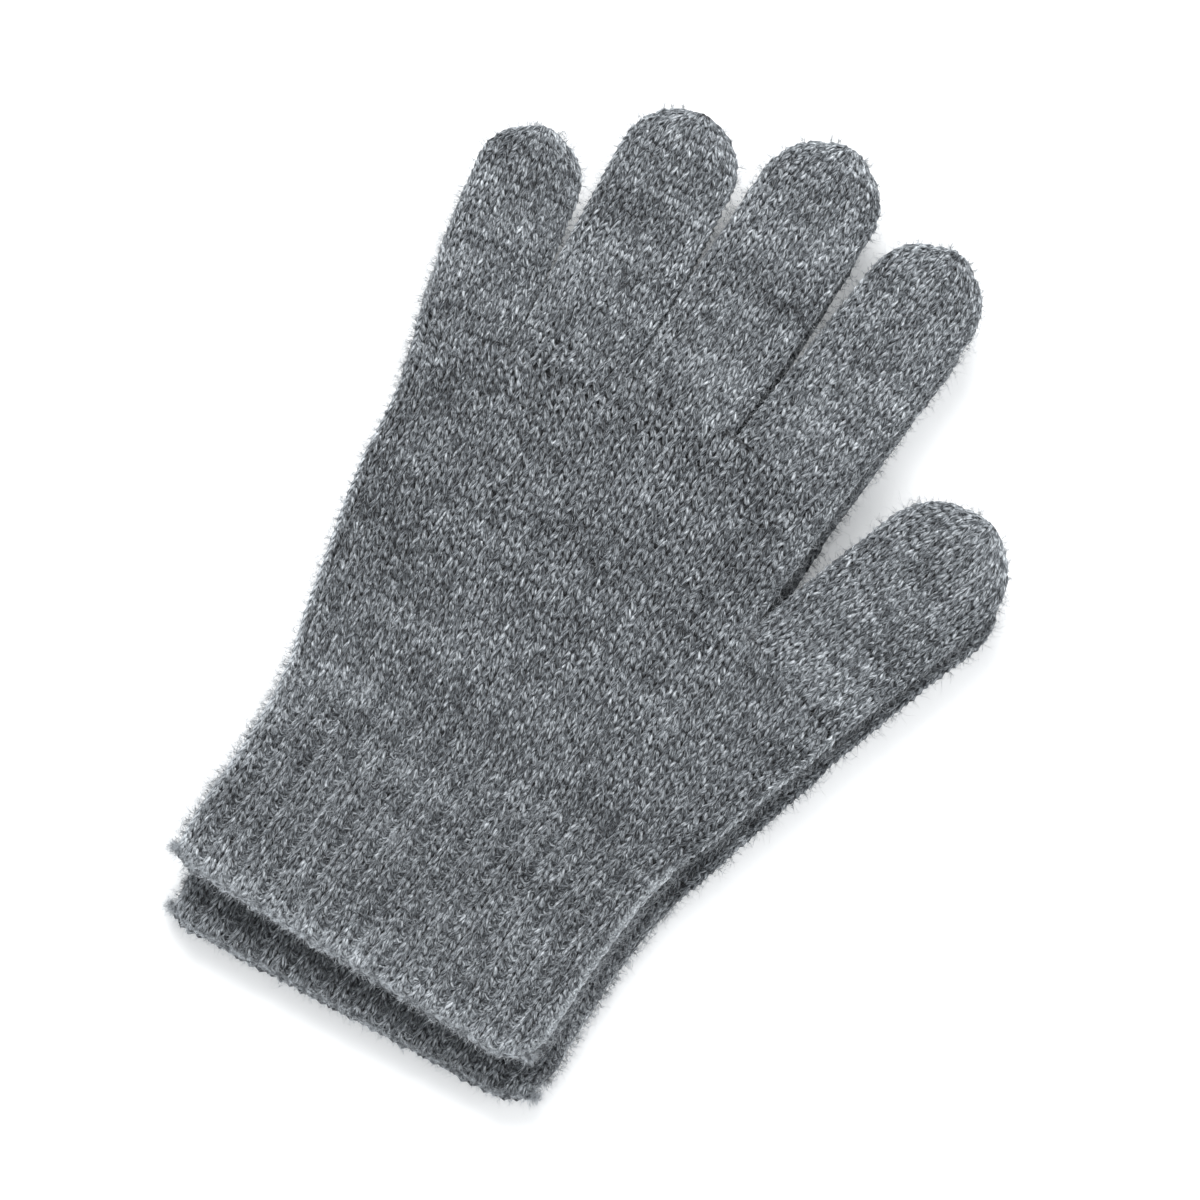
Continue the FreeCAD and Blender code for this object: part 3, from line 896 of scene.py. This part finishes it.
def makePalm(glove, rng):
    fading = lambda row: 0.5 * cuff["ribbing"] * max(0.0, 1 - (row + 1) / 9)
    foldHighlight = styles[glove]["foldHighlight"]
    low = lowPalmSections(glove)
    crotches = [hand[name] for name in ("littleRingCrotch", "ringMiddleCrotch", "middleIndexCrotch")]
    bands = [("root", low, range(0, 13), fading, ()),
             ("heel", low, range(13, 25), None, [hand["thumbCrotch"]]),
             ("palm", highPalmSection, range(0, 12), None, crotches[:1]),
             ("crown", threeFingerSection, range(0, 4), None, crotches[1:])]
    for number, (part, sections, rows, ribbing, tufts) in enumerate(bands):
        band = knitPiece(f"{glove}_hand_{part}", glove, sections, rows, rng, plainYarn, slots["palm"],
                         ribbing, 1.0, tufts, foldHighlight=foldHighlight * (0.8 if sections is low else 0.3))
        rideHand(glove, band, f"{glove}_palm" if number == 0 else None)


def makeFinger(glove, finger, rng):
    root, along, length = fingerFrame(glove, finger)
    shape = dict(fingerShapes[finger])
    if finger == "thumb":
        shape["drift"] = styles[glove]["thumbDrift"]
    home = {"thumb": lowPalmSections(glove)(lowPalm["courses"], 24), "little": highPalmSection(12, 12)}
    section = home.get(finger) or threeFingerSection(4, 4)
    firstColumn = columnOver(section, root.x) % 1.0
    place = (root, along, length)

    def sections(row, ownRow):
        return fingerSection(place, shape, firstColumn, row, ownRow)

    course = fabric["fingerCourse"]
    half = length / 2
    bend = 0.26 * half  # half the length over which the knuckle curves
    rows = int((length - fabric["inset"] - 0.35 - shape["first"]) / course) + 1
    split = int((half - bend - 1.5 - shape["first"]) / course)
    slot = slots["thumb"] if finger == "thumb" else slots["finger"]
    base = knitPiece(f"{glove}_{finger}_base_knit", glove, sections, range(0, split), rng, fingerYarn, slot,
                     None, 1.15)
    tip = knitPiece(f"{glove}_{finger}_tip_knit", glove, sections, range(split, rows), rng, fingerYarn, slot,
                    None, 1.15)

    def spot(distance):
        point = np.array([[root.x + along.x * distance, root.y + along.y * distance, 0.0]])
        return tuple(toFrame(glove, point)[0])

    for piece in base:
        spot(0)
        spot(0.42 * half)
        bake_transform(piece)
    for piece in tip:
        spot(half - bend)
        spot(half + bend)
        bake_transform(piece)
    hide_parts(f"{glove}_{finger}_base")
    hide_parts(f"{glove}_{finger}_tip")


for number, glove in enumerate(("lower", "upper")):
    rng = np.random.default_rng(20 + number)
    makeCuff(glove, rng)
    makePalm(glove, rng)
    for finger in fingerShapes:
        makeFinger(glove, finger, rng)
    print(f"stage 2: {glove} glove knitted")

# Elastic threads laid in behind the rib

elastic = {
    "rings": 12,
    "first": 8.0,  # from the cuff's mouth to the first ring
    "pitch": 4.2,
    "radius": 0.3,
    "depth": 1.3,  # behind the middle of the yarn layer
    "ripple": 0.25,
    "corners": 360,
}


def elasticThreads(glove):
    sections = cuffSections(glove)
    points, faces, offset = [], [], 0
    for number in range(elastic["rings"]):
        row = (elastic["first"] + elastic["pitch"] * number) * cuff["courses"] / cuff["height"]
        loop = sections(row, row)[0]
        normal = outward(sections(row - 1, row)[0], loop, sections(row + 1, row)[0])
        arc = arcLengths(loop)
        at = np.linspace(0, arc[-1], elastic["corners"], endpoint=False)
        deep = loop - normal * elastic["depth"]
        path = np.stack([np.interp(at, arc, deep[:, axis]) for axis in range(3)], 1)
        path[:, 1] += elastic["ripple"] * np.sin(at * 2 * math.pi * 36 / arc[-1])
        upright = np.stack([np.interp(at, arc, normal[:, axis]) for axis in range(3)], 1)
        thick = np.full(len(path), elastic["radius"])
        ring, quads, _, _ = tube(path, upright, thick, 6, 1.0, 0.0, 0.0)
        points.append(ring)
        faces.append(quads + offset)
        offset += len(ring)
    piece = makeMesh(f"{glove}_elastic_threads", glove, np.concatenate(points), np.concatenate(faces), None,
                     (coveredElastic,))
    rideHand(glove, [piece], f"{glove}_cuff_elastic")


for glove in ("lower", "upper"):
    elasticThreads(glove)

# Floor, lights and camera

studio = {
    "floor": 3.0,
    "tableGlow": 0.30,  # the table is lit from below, so shadows on it stay pale
    "viewWidth": 0.276,  # what the camera takes in across the frame
    "viewHeight": 0.90,  # how far above the gloves it hangs
    "tilt": 31.3,  # the gloves lean this far to the right in the frame, in degrees
    "centre": (5.5, 102.6),  # what the camera looks at, from the middle of the upper cuff's edge
    "world": 0.60,
}

lamps = {  # to the right in view, up in view and above the table, in metres
    "windowLight": {"at": (-0.10, 1.08, 0.95), "size": 0.75, "power": 19.0},
    "fillLight": {"at": (1.05, -0.25, 0.80), "size": 0.9, "power": 6.0},
}

floorMesh = bpy.data.meshes.new("floor")
side = studio["floor"] / 2
corners = [(-side, -side, 0), (side, -side, 0), (side, side, 0), (-side, side, 0)]
floorMesh.from_pydata(corners, [], [(0, 1, 2, 3)])
floor = bpy.data.objects.new("floor", floorMesh)
bpy.context.scene.collection.objects.link(floor)
paper, tree, shader = newMaterial("palePaper")
grain = noise(tree, addNode(tree, "ShaderNodeTexCoord").outputs["Object"], 300.0, 3.0, 0.6)
ramp = addNode(tree, "ShaderNodeValToRGB")
ramp.color_ramp.elements[0].color = (0.86, 0.865, 0.87, 1)
ramp.color_ramp.elements[1].color = (0.90, 0.905, 0.91, 1)
link(tree, grain, ramp.inputs[0])
link(tree, ramp.outputs[0], shader.inputs["Base Color"])
shader.inputs["Roughness"].default_value = 0.9
shader.inputs["Emission Color"].default_value = (0.97, 0.99, 1.0, 1)
shader.inputs["Emission Strength"].default_value = studio["tableGlow"]
floorMesh.materials.append(paper)


def areaLight(name, position, size, power, target):
    lamp = bpy.data.lights.new(name, "AREA")
    lamp.size = size
    lamp.energy = power
    holder = bpy.data.objects.new(name, lamp)
    holder.location = position
    holder.rotation_euler = (Vector(target) - Vector(position)).to_track_quat("-Z", "Y").to_euler()
    bpy.context.scene.collection.objects.link(holder)


centre = toFrame("upper", np.array([[studio["centre"][0], studio["centre"][1], 0.0]]))[0]
tilt = math.radians(studio["tilt"])
upInView = Vector((-math.sin(tilt), math.cos(tilt), 0))
rightInView = Vector((math.cos(tilt), math.sin(tilt), 0))
middle = Vector((centre[0], centre[1], 0))
for name, setting in lamps.items():
    right, up, above = setting["at"]
    place = middle + rightInView * right + upInView * up + Vector((0, 0, above))
    areaLight(name, place, setting["size"], setting["power"], middle)
world = bpy.data.worlds.new("studio")
world.use_nodes = True
world.node_tree.nodes["Background"].inputs["Color"].default_value = (0.97, 0.985, 1.0, 1)
world.node_tree.nodes["Background"].inputs["Strength"].default_value = studio["world"]
bpy.context.scene.world = world
bpy.context.scene.view_settings.view_transform = "Standard"

lens = bpy.data.cameras.new("camera")
lens.sensor_width = 36.0
lens.lens = lens.sensor_width * studio["viewHeight"] / studio["viewWidth"]
camera = bpy.data.objects.new("camera", lens)
topOfGloves = cadBox[1][2]
turned = Matrix((
    (rightInView.x, upInView.x, 0),
    (rightInView.y, upInView.y, 0),
    (0, 0, 1),
))
hangsAt = middle + Vector((0, 0, topOfGloves + studio["viewHeight"]))
camera.matrix_world = Matrix.Translation(hangsAt) @ turned.to_4x4()
bpy.context.scene.collection.objects.link(camera)
bpy.context.scene.camera = camera
print("stage 3: floor, lights and camera set")
